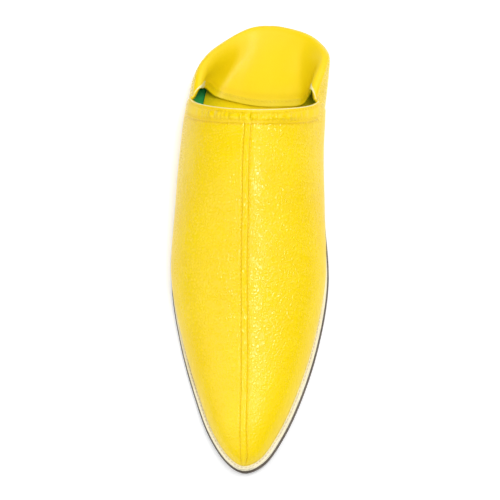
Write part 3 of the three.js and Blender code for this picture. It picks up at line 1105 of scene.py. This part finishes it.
    def _cut_edges(self, vamp_verts: dict, quarter_verts: dict) -> None:
        """Gives the strip along the throat's free edge the cut leather's finish."""
        form = self.form
        last = len(form.turns) - 1
        across = max(j for _, j in vamp_verts)
        tips = {vamp_verts[last, j] for j in range(form.wall_steps, across - form.wall_steps + 1)}
        rows = max(r for _, r in quarter_verts)
        for k in range(1, form.quarter_steps):
            near = min(k, form.quarter_steps - k)
            depth = next((deep for columns, deep in self.cut_strips if near <= columns), None)
            if depth:
                tips |= {quarter_verts[k, r] for r in range(rows - depth, rows + 1)}
        for vert in tips:
            for face in vert.link_faces:
                if sum(corner in tips for corner in face.verts) >= 2:
                    face.material_index = CUT_FACE
        clear = range(self.hem_clear, form.quarter_steps - self.hem_clear + 1)
        hem = {quarter_verts[k, r] for k in clear for r in range(rows - self.hem_rows, rows + 1)}
        for vert in hem:
            for face in vert.link_faces:
                if all(corner in hem for corner in face.verts):
                    face.material_index = HEM_FACE

    def _offset(self, bm: bmesh.types.BMesh, vamp_verts: dict, rise_layer: object,
                base_layer: object) -> None:
        """Moves the sheet from the lining side to the leather's face, by the wall and the relief."""
        bm.verts.ensure_lookup_table()
        bm.verts.index_update()
        merged = bmesh.ops.find_doubles(bm, verts=bm.verts[:], dist=MERGE_DISTANCE)["targetmap"]
        target = {vert.index: into.index for vert, into in merged.items()}

        def root(index: int) -> int:
            """Follows a merged vertex to the one that stands for it."""
            while index in target:
                index = target[index]
            return index

        count = len(bm.verts)
        spots = np.array([vert.co for vert in bm.verts])
        roots = np.array([root(index) for index in range(count)])
        normals = np.zeros((count, 3))
        edges = []
        for face in bm.faces:
            ring = [int(roots[vert.index]) for vert in face.verts]
            area = np.cross(spots[ring[2]] - spots[ring[0]], spots[ring[3]] - spots[ring[1]])
            for index in ring:
                normals[index] += area
            edges += list(zip(ring, ring[1:] + ring[:1]))
        crown = vamp_verts[len(self.form.turns) // 2, max(j for _, j in vamp_verts) // 2].index
        if normals[crown][2] < 0:
            normals *= -1
            bmesh.ops.reverse_faces(bm, faces=bm.faces[:])
        pairs = np.array(edges)
        for _ in range(self.normal_rounds):
            normals /= np.maximum(np.linalg.norm(normals, axis=1, keepdims=True), 1e-12)
            sums = normals.copy()
            np.add.at(sums, pairs[:, 0], normals[pairs[:, 1]])
            np.add.at(sums, pairs[:, 1], normals[pairs[:, 0]])
            normals = sums
        for vert in bm.verts:
            base = Vector(normals[roots[vert.index]])
            base.z *= 1 - vert[base_layer]
            rise = bm.verts[int(roots[vert.index])][rise_layer]
            reach = (self.form.last.wall + rise) * MM
            vert.co = Vector(spots[roots[vert.index]]) + base.normalized() * reach
        bm.normal_update()

    def _keep_sewing(self, vamp_verts: dict, quarter_verts: dict, hem_start: int) -> None:
        """Keeps the lines that the sewing follows."""
        form = self.form
        span = range(form.wall_steps + 1, 2 * form.seam_column - form.wall_steps)
        for name, share in zip(("band_low", "band_high"), self.vamp_work.band_rows):
            self._keep(name, [vamp_verts[form.band_station(share), j] for j in span])
        groove = form.wall_steps + form.arch_steps + self.sewn_groove
        stations = range(self.first_stitch, form.band_station(self.seam_stop))
        for name, j in (("seam_inner", groove), ("seam_outer", 2 * form.seam_column - groove)):
            self._keep(name, [vamp_verts[i, j] for i in stations])
        first, last = (round(share * form.quarter_steps) for share in self.flap_sewing)
        row = hem_start + self.flap_work.row
        self._keep("flap_hem", [quarter_verts[k, row] for k in range(first, last)])

    def _keep(self, name: str, verts: Sequence[bmesh.types.BMVert]) -> None:
        """Copies one line of vertices and their normals."""
        self.sewing[name] = StitchRow([v.co.copy() for v in verts], [v.normal.copy() for v in verts])


@dataclass
class Sewing:
    """Small raised stitches along a set of lines, joined in one mesh."""

    name: str
    rows: Sequence[StitchRow]
    finish: MatteLeather
    slot: str
    pitch: float = 2.6
    length: float = 1.9
    radius: float = 0.22
    sink: float = 0.05
    standing: float = 0.35
    aim: float = 0.3

    def build(self, finishes: Finishes) -> bpy.types.Object:
        """Builds and dresses the stitches.

        Args:
            finishes: the shared node groups.

        Returns:
            The finished piece.
        """
        bm = bmesh.new()
        for row in self.rows:
            points = np.array(row.points)
            normals = np.array(row.normals)
            spans = np.linalg.norm(np.diff(points, axis=0), axis=1)
            lengths = np.concatenate(([0.0], np.cumsum(spans)))

            def read(values: np.ndarray, distance: float) -> Vector:
                """A point or a normal at a distance along the row."""
                return Vector([np.interp(distance, lengths, values[:, axis]) for axis in range(3)])

            reach = self.aim * self.length * MM
            for index in range(int(lengths[-1] / (self.pitch * MM))):
                middle = (index + 0.5) * self.pitch * MM
                along = read(points, middle + reach) - read(points, middle - reach)
                up = read(normals, middle).normalized()
                self._stitch(bm, read(points, middle), along.normalized(), up)
        sewing = finished_object(self.name, bm, [self.finish.make(finishes)])
        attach(sewing, "root")
        report(sewing)
        return sewing

    def _stitch(self, bm: bmesh.types.BMesh, spot: Vector, along: Vector, up: Vector) -> None:
        """Adds one stitch, a short grain lying along the line."""
        side = up.cross(along).normalized()
        up = along.cross(side).normalized()
        turn = Matrix((along, side, up)).transposed().to_4x4()
        size = Matrix.Diagonal((self.length / 2, self.radius, self.radius, 1.0 / MM)) * MM
        size[3][3] = 1.0
        place = Matrix.Translation(spot + up * (self.radius * self.standing - self.sink) * MM)
        bmesh.ops.create_uvsphere(bm, u_segments=6, v_segments=4, radius=1.0, matrix=place @ turn @ size)


# The sole


@dataclass
class SoleLayer:
    """One layer of the sole: a slab cut to the last's outline, with eased edges."""

    last: Last
    name: str
    node: str
    slot: str
    reach: float
    bottom: float
    top: float
    finish: object
    ease: float = 0.5
    spread: float = 0.0
    stations: int = 150
    cells: int = 14
    ease_steps: int = 3
    corner_degrees: float = 50.0

    def build(self, finishes: Finishes) -> bpy.types.Object:
        """Builds and dresses the layer.

        Args:
            finishes: the shared node groups.

        Returns:
            The finished piece.
        """
        bm = bmesh.new()
        rim = []
        for i in range(self.stations + 1):
            turn = i / self.stations / 2
            reach = self.reach + self.spread * self.last.swell.at(turn * self.last.loop_rows)
            rim.append((self.last.footline(turn, reach)[0], self.last.footline(1 - turn, reach)[0]))
        for (i, j), vert in numbered_grid(bm, self.stations, self.cells).items():
            inner, outer = rim[i]
            point = inner.lerp(outer, j / self.cells)
            point.z = self.top
            vert.co = self.last.world(point)
        bmesh.ops.remove_doubles(bm, verts=bm.verts[:], dist=MERGE_DISTANCE)
        bm.normal_update()
        if sum(face.normal.z for face in bm.faces) > 0:
            bmesh.ops.reverse_faces(bm, faces=bm.faces[:])
        lowered = bmesh.ops.extrude_face_region(bm, geom=bm.faces[:])
        fresh = [item for item in lowered["geom"] if isinstance(item, bmesh.types.BMVert)]
        for vert in fresh:
            vert.co.z -= (self.top - self.bottom) * MM
        bmesh.ops.recalc_face_normals(bm, faces=bm.faces[:])
        sharp = math.radians(self.corner_degrees)
        corners = [edge for edge in bm.edges if edge.calc_face_angle(0.0) > sharp]
        bmesh.ops.bevel(bm, geom=corners, offset=self.ease * MM, segments=self.ease_steps, profile=0.5,
                        affect="EDGES", material=-1)
        layer = finished_object(self.name, bm, [self.finish.make(finishes)])
        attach(layer, "root")
        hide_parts(self.node)
        report(layer)
        return layer


@dataclass
class Welt:
    """The line of sewing that runs on the welt, close to the foot of the upper."""

    last: Last
    inset: float = 0.95
    stations: int = 420

    def row(self) -> StitchRow:
        """The line round the whole slipper, on the middle sole's top."""
        points = []
        for i in range(self.stations + 1):
            point, _ = self.last.footline(i / self.stations, self.last.wall + self.inset)
            point.z = self.last.midsole_top
            points.append(self.last.world(point))
        return StitchRow(points, [Vector((0, 0, 1))] * len(points))


# Studio


@dataclass
class Studio:
    """Pale floor, soft lights and the camera, at the picture's angle to the slipper."""

    target: tuple[float, float, float] = (0.30962, -7.13989, 15.0)
    toward: tuple[float, float, float] = (0.10538, -0.31887, 0.94192)
    upright: tuple[float, float, float] = (-0.05662, 0.99840, 0.0)
    distance: float = 1300.0
    focal: float = 2110.4
    picture: float = 500.0
    sensor: float = 36.0
    clip_end: float = 20.0
    floor_half: float = 4.0
    floor_tone: float = 0.97
    floor_roughness: float = 0.9
    floor_glow: tuple[float, float, float] = (0.96, 0.98, 1.0)
    floor_glow_strength: float = 0.2
    air_strength: float = 0.08
    # name, place in metres, two sides in metres, power in watts
    lights: tuple[tuple[str, tuple[float, ...], tuple[float, ...], float], ...] = (
        ("left softbox", (-0.95, -0.3, 1.15), (1.0, 1.7), 10.8),
        ("overhead strip", (0.36, -0.15, 1.55), (1.0, 0.2), 12.0),
        ("right panel", (1.0, 0.0, 1.15), (1.0, 1.0), 3.0),
        ("heel softbox", (0.5, 1.1, 1.0), (2.0, 1.1), 10.8),
        ("toe softbox", (0.2, -1.5, 0.8), (1.4, 0.7), 3.8),
    )

    def camera(self) -> None:
        """Makes the camera and sets it as the scene's own."""
        back = Vector(self.toward).normalized()
        right = Vector(self.upright).cross(back).normalized()
        up = back.cross(right)
        turn = Matrix((right, up, back)).transposed().to_4x4()
        data = bpy.data.cameras.new("studio camera")
        data.sensor_width = self.sensor
        data.sensor_fit = "HORIZONTAL"
        data.lens = self.focal / self.picture * self.sensor
        data.clip_end = self.clip_end
        made = bpy.data.objects.new("studio camera", data)
        made.matrix_world = Matrix.Translation((Vector(self.target) + back * self.distance) * MM) @ turn
        bpy.context.scene.collection.objects.link(made)
        bpy.context.scene.camera = made

    def floor(self) -> None:
        """Makes the pale floor."""
        bm = bmesh.new()
        bmesh.ops.create_grid(bm, x_segments=1, y_segments=1, size=self.floor_half)
        made = finished_object("studio_floor", bm, [])
        material = bpy.data.materials.new("pale floor")
        material.use_nodes = True
        shader = material.node_tree.nodes["Principled BSDF"]
        shader.inputs["Base Color"].default_value = (*(self.floor_tone,) * 3, 1)
        shader.inputs["Roughness"].default_value = self.floor_roughness
        shader.inputs["Emission Color"].default_value = (*self.floor_glow, 1)
        shader.inputs["Emission Strength"].default_value = self.floor_glow_strength
        made.data.materials.append(material)

    def light(self, name: str, spot: Sequence[float], size: Sequence[float], power: float) -> None:
        """Adds one soft light, aimed at the slipper.

        Args:
            name: the light's name.
            spot: its place, in metres.
            size: its two sides, in metres.
            power: its power in watts.
        """
        data = bpy.data.lights.new(name, "AREA")
        data.shape = "RECTANGLE"
        data.size, data.size_y = size
        data.energy = power
        made = bpy.data.objects.new(name, data)
        back = Vector(spot).normalized()
        turn = back.to_track_quat("Z", "Y").to_matrix().to_4x4()
        made.matrix_world = Matrix.Translation(spot) @ turn
        bpy.context.scene.collection.objects.link(made)

    def build(self) -> None:
        """Sets up the whole studio."""
        self.camera()
        self.floor()
        for light in self.lights:
            self.light(*light)
        world = bpy.data.worlds.new("studio air")
        bpy.context.scene.world = world
        world.use_nodes = True
        world.node_tree.nodes["Background"].inputs["Color"].default_value = (1, 1, 1, 1)
        world.node_tree.nodes["Background"].inputs["Strength"].default_value = self.air_strength
        bpy.context.scene.view_settings.view_transform = "Standard"


def main() -> None:
    """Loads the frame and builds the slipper's pieces in order."""
    logging.basicConfig(level=logging.INFO, format="%(message)s")
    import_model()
    Studio().build()
    finishes = Finishes()
    last = Last()
    SoleLayer(last, "babouche_outsole", "outsole", "dark_sole", last.outsole_reach, 0.0,
              last.outsole_thickness, DARK_SOLE, ease=0.6).build(finishes)
    SoleLayer(last, "babouche_midsole", "midsole", "natural_leather", last.midsole_reach,
              last.midsole_base, last.midsole_top, WELT).build(finishes)
    SoleLayer(last, "babouche_insole", "insole", "yellow_leather", -last.wall_gap,
              last.upper_base + last.insole_bedding, last.insole_top, INSOLE_YELLOW, ease=0.3,
              spread=last.insole_spread).build(finishes)
    upper = Upper(UpperForm(last))
    upper.build(finishes)
    Sewing("babouche_upper_stitches", list(upper.sewing.values()), THREAD,
           "yellow_leather").build(finishes)
    Sewing("babouche_welt_stitches", [Welt(last).row()], WELT_THREAD, "natural_leather",
           pitch=2.4, radius=0.34).build(finishes)


if __name__ == "__main__":
    main()
